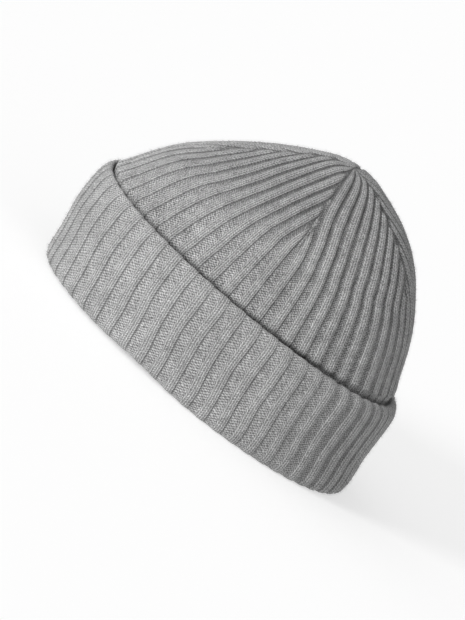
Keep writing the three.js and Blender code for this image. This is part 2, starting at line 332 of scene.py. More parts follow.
def left_and_right(along):
    """Ends of each column's sector in ribs, at each share of the way up the cloth: the start
    plus what is lost after its line, and the end less what is lost before the next line."""
    lost = np.clip(smooth(DECREASES, along)[:, :1], 0, 1) * (along[:, None] > FIRST_DECREASE)
    early = smooth_step((along[:, None] - FIRST_LOSS) / (DECREASE_LINES[:, 3] - FIRST_LOSS))
    lost_after = np.where(DECREASE_LINES[:, 3] < 1, early, lost)[:, sector]
    after = DECREASE_LINES[sector, 2]
    before = np.roll(DECREASE_LINES[:, 1], -1)[sector]
    return sector_from + lost_after * after * sector_ribs, sector_to - lost * before * sector_ribs


# %% [markdown]
# ## The crown's surface
# Each row of the crown is one oval of its ring table, tilted a little, and each column follows
# a wale. The relief of the stitches is laid along the surface's own normal, which leans back
# as the dome closes. Real knitting is never ruled straight, so the ribs sway by a few
# hundredths of their width.

# %% Crown rows
COURSES_UP_CROWN = 76
crown_along = np.linspace(0, 1, 2 * COURSES_UP_CROWN + 1)
SLOPE_STEP = 0.01
LAST_OPEN_RING = 0.98
# the rib in the middle of the slack side, and how far slack alone closes the ribs there
SLACK_RIB = 11
SLACK_CLOSES = 0.45
# shares of the way up the cloth: where the ribs begin to close and over how much they do
CLOSING_FROM = 0.05
CLOSING_SPAN = 0.75
# distance from a decrease line, in ribs, over which the closing sets in
CLOSING_STARTS = 0.5


def sway(along, ribs):
    """Small wander of the ribs, in ribs: three slow waves round and up the cap."""
    return (
        0.030 * np.sin(2 * np.pi * (1.1 * along + ribs / 9.7))
        + 0.009 * np.sin(2 * np.pi * (2.9 * along - ribs / 4.3) + 1.3)
        + 0.003 * np.sin(2 * np.pi * (7.7 * along + ribs / 2.3) + 0.4)
    )


def crown_surface(along, spread, height):
    """Points of the crown: ring at a share of the way up the cloth, place round it in ribs,
    and height over the crests' surface along its normal, which is the level normal turned up
    by the slope of the dome."""
    ring = smooth(CROWN_RINGS, along)
    below = smooth(CROWN_RINGS, np.maximum(0, along - SLOPE_STEP))
    above = smooth(CROWN_RINGS, np.minimum(1, along + SLOPE_STEP))
    rise = (above[:, 0] - below[:, 0]) * CROWN_RISE
    slope = np.arctan2((below[:, 1] - above[:, 1]) * CROWN_HALF_LENGTH, rise)[:, None]
    up, length, width, middle_x, middle_y, tilt = (ring[:, i : i + 1] for i in range(6))
    length, width = np.maximum(length, 0) * CROWN_HALF_LENGTH, np.maximum(width, 0) * CROWN_HALF_WIDTH
    last = smooth(CROWN_RINGS, np.minimum(along, LAST_OPEN_RING))
    ratio = (last[:, 2] * CROWN_HALF_WIDTH) / (last[:, 1] * CROWN_HALF_LENGTH)
    angle = girth_angle(ratio, spread / RIBS, CROWN_GROOVE)
    x0, y0 = middle_x * CROWN_HALF_LENGTH, middle_y * CROWN_HALF_LENGTH
    x, y, nx, ny = oval(x0, y0, length, width, angle)
    out = np.maximum(height * np.cos(slope), -width)
    x, y = x + nx * out, y + ny * out
    aside = (x - x0) * math.cos(HIGH_SIDE) + (y - y0) * math.sin(HIGH_SIDE)
    z = CUFF_HEIGHT + up * CROWN_RISE + aside * np.tan(np.radians(tilt)) + height * np.sin(slope)
    return np.stack([x, y, z], axis=-1)


def closing(along, ribs):
    """How far the ribs have closed, 0 to 1: more the higher up, and lower down on the side
    to the right of the first line, where the cloth hangs slack."""
    slack = smooth_step(np.cos(2 * np.pi * (ribs - SLACK_RIB) / RIBS))
    return np.clip(smooth_step((along - CLOSING_FROM) / CLOSING_SPAN) + SLACK_CLOSES * slack, 0, 1)


def crown_wales(along):
    """Where each column lies at each row: its place round the ring in ribs, the ribs that it
    and the next column show, its distance to the nearer line, a rib's width as a share of the
    even one, and how far its rib has closed. A closing rib moves its columns aside, by an
    amount that fades to nothing on a line, so that the ribs run on smoothly past it."""
    left, right = left_and_right(along)
    drift = smooth(DECREASES, along)[:, 1:2]
    shown = np.clip(column_rib, left, right)
    shown_next = np.clip(next_rib, left, right)
    stretch = sector_ribs / (right - left)
    close = closing(along[:, None], sector_from + (shown - left) * stretch + drift)
    to_line = np.minimum(shown - left, right - shown)
    aside = (closed_rib(shown, close) - shown) * smooth_step(to_line / CLOSING_STARTS)
    place = sector_from + (shown - left + aside) * stretch + drift
    return place, shown, shown_next, to_line, stretch, close


# %% [markdown]
# ## Relief and shade
# The stitches are laid on that surface here, and a shade is stored with each point. Low places
# between the ribs grow dark with their depth, because light hardly finds its way into them.
# The crease where the cuff's roll rests on the crown is dark too, all round but for the two
# ends of the oval, where the roll hugs the crown.

# %% Crown relief
# depths of the ribs in millimetres: open, closed, on a decrease line, and where shade is full
OPEN_DEPTH = 0.95
CLOSED_DEPTH = 2.2
GROOVE_DEPTH = 2.3
HOLLOW_FULL = 1.7
HOLLOW_MOST = 1.22
HOLLOW_POWER = 1.5
# a decrease line: over which share of the cloth it sets in, and its half width in ribs
LINE_FADE = 0.03
LINE_SOFTNESS = 0.3
# the relief shrinks with the ring: least ring, least share of the relief and power
LEAST_RING = 0.02
LEAST_RELIEF = 0.05
RELIEF_POWER = 0.6
# share of the extra shade on an open rib, and what it loses as the rib closes
EDGE_SHADE = 0.7
EDGE_SHADE_LOSS = 0.5
# the crown is this much slimmer past its rim, and dimpled at the tip
SLIMMER = 0.0004
SLIMMER_SPAN = 0.1
TIP_DIMPLE = 0.0012
# the cuff's roll, in shares of its height: its top, and from where it drops at the two ends
ROLL_TOP = 0.97
END_DROP = 0.0016
END_DROP_FROM = 0.66
END_DROP_SPAN = 0.3
CREASE_WIDTH = 0.0028
CREASE_SHADE = 1.8
# at the ends of the oval the crease fades and the crown's foot swells, by cos(angle)^power
END_POWER = 8
END_EASE = 0.8
END_HUG = 0.011
HUG_SPAN = 0.08


def hollow_shade(height):
    """Painted shade of a low place from its height in millimetres: (-height / full)^power, 0 at
    the crests, so that the flanks of a rib stay light and only its valley is dark."""
    return np.clip(-height / HOLLOW_FULL, 0, HOLLOW_MOST) ** HOLLOW_POWER


def crown_relief(along, shown, to_line, stretch, close):
    """Height of the stitches in metres, and their shade. Beside an active line the height
    sinks to the line's groove, and the ribs get shallower as they narrow: the height is
    multiplied by (ring size x rib width)^power."""
    head = (np.arange(len(along)) % 2)[:, None]
    depth = OPEN_DEPTH + (CLOSED_DEPTH - OPEN_DEPTH) * close
    height = stitch_height(shown, head, depth, close)
    active = smooth_step((along - FIRST_DECREASE) / LINE_FADE)[:, None]
    beside = smooth_step(to_line / LINE_SOFTNESS)
    height = height * (1 - active) + (-GROOVE_DEPTH + (height + GROOVE_DEPTH) * beside) * active
    on_line = to_line <= 0
    depth = OPEN_DEPTH + (CLOSED_DEPTH - OPEN_DEPTH) * closing(along, 0)[:, None]
    common = stitch_height(0, head, depth, 0) * (1 - active) - GROOVE_DEPTH * active
    height = np.where(on_line, common, height)
    girth = np.maximum(smooth(CROWN_RINGS, along)[:, 1:2], LEAST_RING)
    narrow = np.clip(girth * stretch, LEAST_RELIEF, 1) ** RELIEF_POWER
    narrow = np.where(on_line, np.clip(girth * 2, LEAST_RELIEF, 1) ** RELIEF_POWER, narrow)
    shade = hollow_shade(height) + by_rib(shown, 6) * (EDGE_SHADE - EDGE_SHADE_LOSS * close)
    return height * narrow / 1000 - SLIMMER * smooth_step(along / SLIMMER_SPAN)[:, None], shade


def roll_drop(up, angle):
    """How much lower the cuff's rolled edge lies at the two ends of the oval, where the cloth
    is bent most, than at its sides: nothing below two thirds of the height."""
    return END_DROP * np.cos(angle) ** 2 * smooth_step((up - END_DROP_FROM) / END_DROP_SPAN)


def around_cap(points):
    """Angle of points round the cap's oval, 0 at its +X end."""
    return np.arctan2(points[..., 1] / CROWN_HALF_WIDTH, points[..., 0] / CROWN_HALF_LENGTH)


def eased(angle):
    """Share of the crease's shade that is left: 1 - ease x cos(angle)^power, least at the two
    ends of the oval, where the cuff hugs the crown."""
    return 1 - END_EASE * np.cos(angle) ** END_POWER


def crease_shade(points):
    """Shade of the crease over the cuff's rolled edge, 0 for none: full at and under the
    roll's top, gone a few millimetres above it, and eased at the two ends of the oval."""
    around = around_cap(points)
    roll_top = ROLL_TOP * CUFF_HEIGHT - CUFF_FRONT_LIFT * np.cos(around) * ROLL_TOP**2
    roll_top = roll_top - roll_drop(ROLL_TOP, around)
    near = smooth_step(1 - (points[..., 2] - roll_top) / CREASE_WIDTH)
    return CREASE_SHADE * eased(around) * near


place, shown, shown_next, to_line, stretch, close = crown_wales(crown_along)
# painted shade on the crown: dark in the valleys by their depth and along one edge of each purl band
relief, crown_painted_shade = crown_relief(crown_along, shown, to_line, stretch, close)
wander = sway(crown_along[:, None], place)
crown_outside = crown_surface(crown_along, place + wander, relief)
crown_outside[-1] = crown_outside[-1].mean(axis=0) - (0, 0, TIP_DIMPLE)
low_down = smooth_step(1 - crown_along / HUG_SPAN)[:, None]
crown_outside[..., 0] *= 1 + END_HUG * low_down * np.cos(around_cap(crown_outside)) ** END_POWER
# painted shade of the crease over the cuff's roll, eased at the two ends of the oval
crown_painted_shade = np.maximum(crown_painted_shade, crease_shade(crown_outside))
print("crown rows", len(crown_along), "top, mm", round(float(crown_outside[..., 2].max()) * 1000, 1))

# %% [markdown]
# ## Inside the cuff and the cap
# Under the turned-up band the crown goes on down to the fold, and its inside shows from
# below. The inside of a rib is the same rib turned over: what stands up outside lies low
# inside. It is seen only in shade, so it takes every second column and far fewer rows.

# %% Rings of the cuff and of the wall inside it
WALL_ROWS = np.array([0.088, 0.3, 0.5, 0.78, 0.88, 0.965])
LINING_ALONG = np.linspace(0, 1, 25)
LINING_RELIEF = 0.45
HIDDEN_SHADE = 0.5
half_columns = np.arange(COLUMNS) // 2 * 2


def cuff_oval(up):
    """The cuff's outside at shares of its height: middle x, y and the two half sizes."""
    ring = smooth(CUFF_RINGS, up)
    size, x, y = ring[:, 0:1], ring[:, 1:2], ring[:, 2:3]
    return x * CUFF_HALF_LENGTH, y * CUFF_HALF_LENGTH, size * CUFF_HALF_LENGTH, size * CUFF_HALF_WIDTH


def inner_oval(up):
    """The crown's wall inside the cuff: the cuff's oval less its thickness, with its middle
    passing over, in proportion to height, to that of the crown's first ring."""
    x, y, length, width = cuff_oval(up)
    top_x, top_y, _, _ = cuff_oval(np.array([1.0]))
    share = np.asarray(up)[:, None]
    x = x + (CROWN_RINGS[0, 4] * CROWN_HALF_LENGTH - top_x) * share
    y = y + (CROWN_RINGS[0, 5] * CROWN_HALF_LENGTH - top_y) * share
    return x, y, length - CUFF_THICKNESS - LAYER_GAP, width - CUFF_THICKNESS - LAYER_GAP


def wall(up, angle, out):
    """Points of the wall inside the cuff, moved out along the level normal."""
    x, y, nx, ny = oval(*inner_oval(up), angle)
    z = np.broadcast_to(np.asarray(up)[:, None] * CUFF_HEIGHT, x.shape)
    return np.stack([x + nx * out, y + ny * out, z], axis=-1)


crown_ratio = CROWN_HALF_WIDTH / CROWN_HALF_LENGTH
wall_place = np.tile(place[0] + wander[0], (len(WALL_ROWS), 1))
wall_angle = girth_angle(np.full(len(WALL_ROWS), crown_ratio), wall_place / RIBS, CROWN_GROOVE)
wall_outside = wall(WALL_ROWS, wall_angle, np.tile(relief[0], (len(WALL_ROWS), 1)))
inside_depth = -KNIT_THICKNESS - LINING_RELIEF * relief[0]
wall_inside = wall(WALL_ROWS[:-1], wall_angle[:-1], inside_depth)

# %% The crown as one closed skin
lining_place, lining_shown, lining_next, *lining_state = crown_wales(LINING_ALONG)
lining_relief, _ = crown_relief(LINING_ALONG, lining_shown, *lining_state)
lining_wander = sway(LINING_ALONG[:, None], lining_place)
lining_depth = -KNIT_THICKNESS - LINING_RELIEF * lining_relief
crown_inside = crown_surface(LINING_ALONG, lining_place + lining_wander, lining_depth)
crown_inside[-1] = crown_inside[-1].mean(axis=0)
down = slice(None, None, -1)
crown_points = np.concatenate([
    crown_inside[down][:, half_columns],
    wall_inside[down][:, half_columns],
    wall_outside,
    crown_outside,
])
lining_rows, wall_rows = len(LINING_ALONG), len(WALL_ROWS)
crown_wale_left = wale_of(np.concatenate([
    lining_shown[down], np.tile(shown[0], (2 * wall_rows - 1, 1)), shown,
]))
crown_wale_right = wale_of(np.concatenate([
    lining_next[down], np.tile(shown_next[0], (2 * wall_rows - 1, 1)), shown_next,
]) - 1e-9)
lining_course = (1 - LINING_ALONG[down]) * COURSES_UP_CROWN
wall_course = WALL_ROWS * CUFF_HEIGHT / COURSE_HEIGHT
crown_course = np.concatenate([
    lining_course,
    COURSES_UP_CROWN + CUFF_HEIGHT / COURSE_HEIGHT - wall_course[-2::-1],
    COURSES_UP_CROWN + CUFF_HEIGHT / COURSE_HEIGHT + wall_course,
    math.ceil(COURSES_UP_CROWN + 2 * CUFF_HEIGHT / COURSE_HEIGHT) + crown_along * COURSES_UP_CROWN,
])
# painted shade of every row: one even shade inside the cap, the crease's shade on the wall under the cuff,
# and that of the crown outside
crown_skin_painted_shade = np.concatenate([
    np.full((lining_rows + wall_rows - 1, COLUMNS), HIDDEN_SHADE),
    crease_shade(wall_outside),
    crown_painted_shade,
])
print("crown grid", crown_points.shape)

# %% [markdown]
# ## The cuff
# The band is folded double, so its top edge is a soft roll over which the ribs run without a
# break, and its foot is the fold on which the cap stands. Its section is a short table of
# places between the crown and the outside. The same stitches are laid on the section's
# normal, from the foot round the roll and down behind.

# %% The cuff's section
# across from the crown to the outside, share of the height, share of the relief
CUFF_SECTION = np.array([
    (0.35, 0.000, 0.15),
    (0.58, 0.003, 0.50),
    (0.80, 0.018, 0.80),
    (0.95, 0.050, 1.00),
    (1.00, 0.110, 1.00),
    (1.00, 0.310, 1.00),
    (1.00, 0.530, 1.00),
    (1.00, 0.720, 1.00),
    (0.965, 0.830, 1.00),
    (0.87, 0.895, 0.90),
    (0.70, 0.940, 0.70),
    (0.48, 0.968, 0.55),
    (0.22, 0.970, 0.45),
    (0.05, 0.930, 0.30),
    (0.00, 0.870, 0.20),
])
# share of the knit's thickness into the hollow, share of the fold's height
FOLD_SECTION = np.array([(1.0, 1.0), (1.05, 0.5), (0.75, 0.12), (0.35, 0.0)])
INSIDE_ROWS = np.array([0.7, 0.4, 0.082])
ROWS_PER_COURSE = 2
CUFF_OPEN_DEPTH = 0.85
CUFF_CLOSED_DEPTH = 2.0
# the cuff's slack side: its middle rib, and how sharply and how far round it reaches
CUFF_SLACK_RIB = 15
CUFF_SLACK_SLOPE = 1.6
CUFF_SLACK_LEVEL = 0.6
CUFF_LEAN = 0.22
# share of the section across over which the roll's far side lies in shade
ROLL_SHADE_SPAN = 0.4
# middle and spread in degrees, height in metres, and the share of the cuff that they lift
FOOT_WAVES = ((-121, 14, 0.0017), (-150, 26, 0.0009))
FOOT_SPAN = 0.4
FOLD_RELIEF = 0.35


def section_rows(table, step):
    """Rows at equal steps along a section: the table's points smoothed by the running length
    between them and read off every step."""
    ends = table[:, :2] * (CUFF_THICKNESS, CUFF_HEIGHT)
    run = np.concatenate([[0], np.cumsum(np.hypot(*np.diff(ends, axis=0).T))])
    count = int(round(run[-1] / step))
    return smooth(np.column_stack([run, table]), np.linspace(0, run[-1], count + 1))


section = section_rows(CUFF_SECTION, COURSE_HEIGHT / ROWS_PER_COURSE)
run_across = np.gradient(section[:, 0] * CUFF_THICKNESS)
run_up = np.gradient(section[:, 1] * CUFF_HEIGHT)
facing = np.stack([run_up, -run_across]) / np.hypot(run_up, run_across)
print("cuff rows", len(section), "courses", len(section) // ROWS_PER_COURSE)


# %% The cuff's surface
def cuff_sway(up, ribs):
    """Wander of the cuff's ribs, in ribs: a steady lean and two slow waves."""
    waves = 0.025 * np.sin(2 * np.pi * (0.9 * up + ribs / 6.1))
    waves = waves + 0.012 * np.sin(2 * np.pi * (2.3 * up - ribs / 2.9) + 0.7)
    return waves + CUFF_LEAN * (0.5 - up)


def foot_lift(angle):
    """How far the fold at the foot stands off the floor, in metres: a few soft bumps over the
    angle round the cap, each height x exp(-((angle - middle) / spread) squared)."""
    lift = 0
    for middle, spread, height in FOOT_WAVES:
        beyond = angle - math.radians(middle)
        apart = np.arctan2(np.sin(beyond), np.cos(beyond))
        lift = lift + height * np.exp(-((apart / math.radians(spread)) ** 2))
    return lift


def cuff_surface(across, up, angle, out, rise):
    """Points of the cuff: a share of the way from the crown's wall to the cuff's outside,
    then moved out and up. The front of the top edge stands a little higher than the back."""
    inner = wall(up, angle, LAYER_GAP)
    x, y, nx, ny = oval(*cuff_oval(up), angle)
    z = np.broadcast_to(up[:, None] * CUFF_HEIGHT, x.shape)
    outer = np.stack([x, y, z], axis=-1)
    points = inner + (outer - inner) * across[:, None, None]
    points[..., 0] += nx * out
    points[..., 1] += ny * out
    points[..., 2] += rise - CUFF_FRONT_LIFT * np.cos(angle) * up[:, None] ** 2
    points[..., 2] -= roll_drop(up[:, None], angle)
    return points


cuff_up = section[:, 1]
cuff_rib = np.tile(column_rib, (len(section), 1))
cuff_ratio = CUFF_HALF_WIDTH / CUFF_HALF_LENGTH
slack_side = np.cos(2 * np.pi * (cuff_rib - CUFF_SLACK_RIB) / RIBS)
cuff_close = smooth_step(CUFF_SLACK_SLOPE * slack_side - CUFF_SLACK_LEVEL)
cuff_place = closed_rib(cuff_rib, cuff_close) + cuff_sway(cuff_up[:, None], cuff_rib)
cuff_angle = girth_angle(np.full(len(section), cuff_ratio), cuff_place / RIBS, CUFF_GROOVE)
head = (np.arange(len(section)) % ROWS_PER_COURSE)[:, None]
rib_depth = CUFF_OPEN_DEPTH + (CUFF_CLOSED_DEPTH - CUFF_OPEN_DEPTH) * cuff_close
cuff_relief = stitch_height(cuff_rib, head, rib_depth, cuff_close) * section[:, 2:3]
# painted shade on the cuff: the roll's far side in the crease, the valleys by their depth and one edge of
# each purl band
roll = smooth_step(1 - section[:, :1] / ROLL_SHADE_SPAN) * (cuff_up[:, None] > 0.5)
cuff_painted_shade = hollow_shade(cuff_relief) + by_rib(cuff_rib, 6) * section[:, 2:3]
cuff_painted_shade = np.maximum(cuff_painted_shade, roll * CREASE_SHADE * eased(cuff_angle))
cuff_height = cuff_relief / 1000
cuff_outside = cuff_surface(
    section[:, 0], cuff_up, cuff_angle, cuff_height * facing[0][:, None], cuff_height * facing[1][:, None],
)
cuff_outside[..., 2] = np.maximum(cuff_outside[..., 2], 0)
cuff_outside[..., 2] += foot_lift(cuff_angle) * smooth_step(1 - cuff_up[:, None] / FOOT_SPAN)

# %% The cuff as one closed skin
plain_angle = np.tile(cuff_angle[-1], (len(INSIDE_ROWS), 1))
cuff_behind = wall(INSIDE_ROWS, plain_angle, LAYER_GAP)[:, half_columns]
fold_angle = np.tile(cuff_angle[0], (len(FOLD_SECTION), 1))
fold_up = FOLD_SECTION[:, 1] * FOLD_HEIGHT / CUFF_HEIGHT
fold_relief = stitch_height(np.tile(column_rib, (len(FOLD_SECTION), 1)), 0, CUFF_OPEN_DEPTH, 0) / 1000
fold_out = -FOLD_SECTION[:, :1] * KNIT_THICKNESS - FOLD_RELIEF * fold_relief * FOLD_SECTION[:, 1:2]
cuff_fold = wall(fold_up, fold_angle, fold_out)
cuff_fold[..., 2] += foot_lift(fold_angle) * smooth_step(1 - FOLD_SECTION[:, 1:])
cuff_points = np.concatenate([cuff_outside, cuff_behind, cuff_fold])
cuff_rows = len(cuff_points)
cuff_wale_left = np.tile(wale_of(column_rib), (cuff_rows, 1))
cuff_wale_right = np.tile(wale_of(next_rib - 1e-9), (cuff_rows, 1))
outside_course = np.arange(len(section)) / ROWS_PER_COURSE
behind_course = outside_course[-1] + (section[-1, 1] - INSIDE_ROWS) * CUFF_HEIGHT / COURSE_HEIGHT
fold_course = behind_course[-1] + 1 + np.arange(len(FOLD_SECTION))
cuff_course = np.concatenate([outside_course, behind_course, fold_course])
# painted shade of every row: that of the outside, and one even shade behind the cuff and in the fold
cuff_skin_painted_shade = np.concatenate([
    cuff_painted_shade, np.full((len(INSIDE_ROWS) + len(FOLD_SECTION), COLUMNS), HIDDEN_SHADE),
])
cuff_low, cuff_high = (np.array(corner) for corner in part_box("cuff"))
built_low, built_high = cuff_outside.reshape(-1, 3).min(axis=0), cuff_outside.reshape(-1, 3).max(axis=0)
shift = (cuff_low + cuff_high - built_low - built_high) / 2
shift[2] = 0
crown_knit = grid_mesh(
    "crown_knit", crown_points + shift, crown_wale_left, crown_wale_right, crown_course, crown_skin_painted_shade, False,
)
cuff_knit = grid_mesh(
    "cuff_knit", cuff_points + shift, cuff_wale_left, cuff_wale_right, cuff_course, cuff_skin_painted_shade, True,
)
print("moved onto the packed frame by, mm:", (shift * 1000).round(2))

# %% [markdown]
# ## Wool and stitches as node groups
# Two effects serve every knitted surface. The first draws the stitches from the piece's own
# stitch map, whose u counts wales and v counts courses: V legs on the plain wales, wavy loop
# heads on the purl ones. The second is the heather of the yarn: grey fibres of several tones
# spun together, with slow smudges where more dark ones lie.

# %% Helpers for node trees
def add_node(tree, kind, links=None, **values):
    """A node of a kind, with values set by name and inputs linked or set by number or name."""
    node = tree.nodes.new(kind)
    for name, value in values.items():
        setattr(node, name, value)
    for key, value in (links or {}).items():
        socket = node.inputs[key]
        if isinstance(value, bpy.types.NodeSocket):
            tree.links.new(value, socket)
        else:
            socket.default_value = value
    return node


def calc(tree, operation, *terms):
    """One step of arithmetic in a node tree."""
    return add_node(tree, "ShaderNodeMath", dict(enumerate(terms)), operation=operation).outputs[0]


def soft_range(tree, value, from_low, from_high, to_low=0.0, to_high=1.0):
    """A value carried from one range to another, with a smooth step between the ends."""
    ends = {0: value, 1: from_low, 2: from_high, 3: to_low, 4: to_high}
    return add_node(tree, "ShaderNodeMapRange", ends, interpolation_type="SMOOTHSTEP").outputs[0]


def noise(tree, place, scale, detail):
    """Noise from 0 to 1 at a place, with cells of one over scale."""
    inputs = {"Vector": place, "Scale": scale, "Detail": detail}
    return add_node(tree, "ShaderNodeTexNoise", inputs).outputs[0]


def new_group(name, inputs, outputs):
    """An empty node group with named sockets, and its two end nodes."""
    tree = bpy.data.node_groups.new(name, "ShaderNodeTree")
    for socket, kind, value in inputs:
        item = tree.interface.new_socket(socket, in_out="INPUT", socket_type=kind)
        if value is not None:
            item.default_value = value
    for socket, kind in outputs:
        tree.interface.new_socket(socket, in_out="OUTPUT", socket_type=kind)
    return tree, tree.nodes.new("NodeGroupInput"), tree.nodes.new("NodeGroupOutput")


# %% The stitches, drawn from the stitch map
# all in shares of one stitch: how far the yarn strays up and across, where a leg lies at its
# foot and how far it spreads, its half width at the edge and at the full core
STRAY_UP = 1.1
STRAY_ACROSS = 0.7
LEG_AT_FOOT = 0.13
LEG_SPREAD = 0.24
LEG_EDGE = 0.2
LEG_CORE = 0.03
# the field of purl loops runs from -1 to 1: where the yarn starts and where it is full
PURL_LOW = -0.65
PURL_FULL = 0.55


def stitches_group():
    """Height of the yarn in one stitch, its gap, which is 1 - height, and 1 on plain wales.
    Plain: two legs that part from the foot of the stitch to its head. Purl: loop heads and
    loop feet, set like the fields of a chessboard by cos(2 pi wale) x cos(2 pi course)."""
    tree, source, result = new_group(
        "knit_stitches",
        [("Map", "NodeSocketVector", None)],
        [("Height", "NodeSocketFloat"), ("Gap", "NodeSocketFloat"), ("Plain", "NodeSocketFloat")],
    )
    parts = add_node(tree, "ShaderNodeSeparateXYZ", {0: source.outputs["Map"]})
    nudge = calc(tree, "SUBTRACT", noise(tree, source.outputs["Map"], 0.9, 1.0), 0.5)
    wale = parts.outputs[0]
    course = calc(tree, "MULTIPLY_ADD", nudge, STRAY_UP, parts.outputs[1])
    in_rib = calc(tree, "FLOORED_MODULO", wale, WALES_PER_RIB)
    plain = calc(tree, "LESS_THAN", in_rib, WALES_PER_RIB / 2)
    x = calc(tree, "FRACT", wale)
    y = calc(tree, "FRACT", course)
    aside = calc(tree, "ABSOLUTE", calc(tree, "SUBTRACT", x, 0.5))
    leg = calc(tree, "MULTIPLY_ADD", y, LEG_SPREAD, LEG_AT_FOOT)
    off_leg = calc(tree, "ABSOLUTE", calc(tree, "SUBTRACT", aside, leg))
    ridge = soft_range(tree, off_leg, LEG_EDGE, LEG_CORE)
    swell = calc(tree, "POWER", calc(tree, "SINE", calc(tree, "MULTIPLY", y, math.pi)), 0.5)
    plain_height = calc(tree, "MULTIPLY", ridge, calc(tree, "MULTIPLY_ADD", swell, 0.5, 0.5))
    swayed = calc(tree, "MULTIPLY_ADD", nudge, STRAY_ACROSS, wale)
    round_wale = calc(tree, "COSINE", calc(tree, "MULTIPLY", swayed, 2 * math.pi))
    round_course = calc(tree, "COSINE", calc(tree, "MULTIPLY", course, 2 * math.pi))
    field = calc(tree, "MULTIPLY", round_wale, round_course)
    purl_height = soft_range(tree, field, PURL_LOW, PURL_FULL)
    either = {0: plain, 2: purl_height, 3: plain_height}
    height = add_node(tree, "ShaderNodeMix", either, data_type="FLOAT").outputs[0]
    tree.links.new(height, result.inputs["Height"])
    tree.links.new(calc(tree, "SUBTRACT", 1.0, height), result.inputs["Gap"])
    tree.links.new(plain, result.inputs["Plain"])
    return tree


# %% The heather of the yarn
# cells in a metre, weight and detail: fibres, plies, small smudges and wide ones
HEATHER_NOISES = ((2600.0, 0.6, 2.0), (900.0, 0.8, 1.0), (170.0, 0.4, 2.0), (40.0, 0.24, 1.0))


def heather_group():
    """Tone of the wool, 1 + contrast x total: fibres under half a millimetre apart, plies of
    a millimetre, smudges of six millimetres and of twenty-five, each a noise less 0.5, times
    its weight. The fibres' own noise comes out as well."""
    tree, source, result = new_group(
        "heather_wool",
        [("Place", "NodeSocketVector", None), ("Contrast", "NodeSocketFloat", 1.0)],
        [("Tone", "NodeSocketFloat"), ("Fibres", "NodeSocketFloat")],
    )
    noises = [noise(tree, source.outputs["Place"], scale, detail) for scale, _, detail in HEATHER_NOISES]
    total = 0.0
    for value, (_, weight, _) in zip(noises, HEATHER_NOISES):
        centred = calc(tree, "SUBTRACT", value, 0.5)
        total = calc(tree, "MULTIPLY_ADD", centred, weight, total)
    tone = calc(tree, "MULTIPLY_ADD", total, source.outputs["Contrast"], 1.0)
    tree.links.new(tone, result.inputs["Tone"])
    tree.links.new(noises[0], result.inputs["Fibres"])
    return tree


knit_stitches = stitches_group()
heather_wool = heather_group()
print("node groups:", knit_stitches.name, heather_wool.name)

# %% [markdown]
# ## The wool itself
# Wool scatters light from countless fibres: it is very rough, it brightens at its edges where
# loose fibres catch the light, and it darkens between the stitches, where light has to find
# its way out again. The base colour carries the heather and that hollow shade, and sheen
# stands for the loose fibres.

# %% One wool material
HOLLOW_SHADE = 0.5
PLAIN_SHADE = 0.6
PURL_LIFT = 0.6
ROUGH_LEAST = 0.88
ROUGH_SPAN = 0.1


def wool(name, colour, contrast, purl_shade):
    """Principled wool: colour x heather x painted shade of the low places x painted shade between
    the stitches, a bump of stitches and fibres. The stitch shade is 1 - depth x gap, with a
    depth of its own for plain and purl, and the purl ones are lifted by a share of what their
    deeper gaps take."""
    material = bpy.data.materials.new(name)
    material.use_nodes = True
    tree = material.node_tree
    shader = tree.nodes["Principled BSDF"]
    coords = add_node(tree, "ShaderNodeTexCoord")
    stitch_map = add_node(tree, "ShaderNodeUVMap", uv_map="stitches")
    stitches = add_node(tree, "ShaderNodeGroup", node_tree=knit_stitches)
    tree.links.new(stitch_map.outputs[0], stitches.inputs["Map"])
    heather = add_node(tree, "ShaderNodeGroup", node_tree=heather_wool)
    tree.links.new(coords.outputs["Object"], heather.inputs["Place"])
    heather.inputs["Contrast"].default_value = contrast
    # painted shade stored with the mesh: the colour is multiplied by 1 - HOLLOW_SHADE x its value
    painted_shade = add_node(tree, "ShaderNodeAttribute", attribute_name="painted_shade").outputs["Fac"]
    low = calc(tree, "MULTIPLY_ADD", painted_shade, -HOLLOW_SHADE, 1.0)
    plain = stitches.outputs["Plain"]
    # painted shade between the stitches: their gaps darken the colour, by a depth of its own for plain and
    # purl
    depth = calc(tree, "MULTIPLY_ADD", plain, PLAIN_SHADE - purl_shade, purl_shade)
    lift = PURL_LIFT * (purl_shade - PLAIN_SHADE)
    level = calc(tree, "MULTIPLY_ADD", plain, -lift, 1.0 + lift)
    between = calc(tree, "SUBTRACT", level, calc(tree, "MULTIPLY", stitches.outputs["Gap"], depth))
    tone = calc(tree, "MULTIPLY", calc(tree, "MULTIPLY", heather.outputs["Tone"], low), between)
    tinted = add_node(tree, "ShaderNodeVectorMath", {0: (*colour,), "Scale": tone}, operation="SCALE")
    tree.links.new(tinted.outputs[0], shader.inputs["Base Color"])
    yarn = {"Height": stitches.outputs["Height"], "Distance": 0.0004, "Strength": 0.85}
    bumped = add_node(tree, "ShaderNodeBump", yarn).outputs[0]
    fibres = {"Height": heather.outputs["Fibres"], "Distance": 0.0002, "Strength": 0.9, "Normal": bumped}
    tree.links.new(add_node(tree, "ShaderNodeBump", fibres).outputs[0], shader.inputs["Normal"])
    rough = calc(tree, "MULTIPLY_ADD", heather.outputs["Fibres"], ROUGH_SPAN, ROUGH_LEAST)
    tree.links.new(rough, shader.inputs["Roughness"])
    shader.inputs["Specular IOR Level"].default_value = 0.15
    shader.inputs["Sheen Weight"].default_value = 0.25
    shader.inputs["Sheen Roughness"].default_value = 0.5
    return material


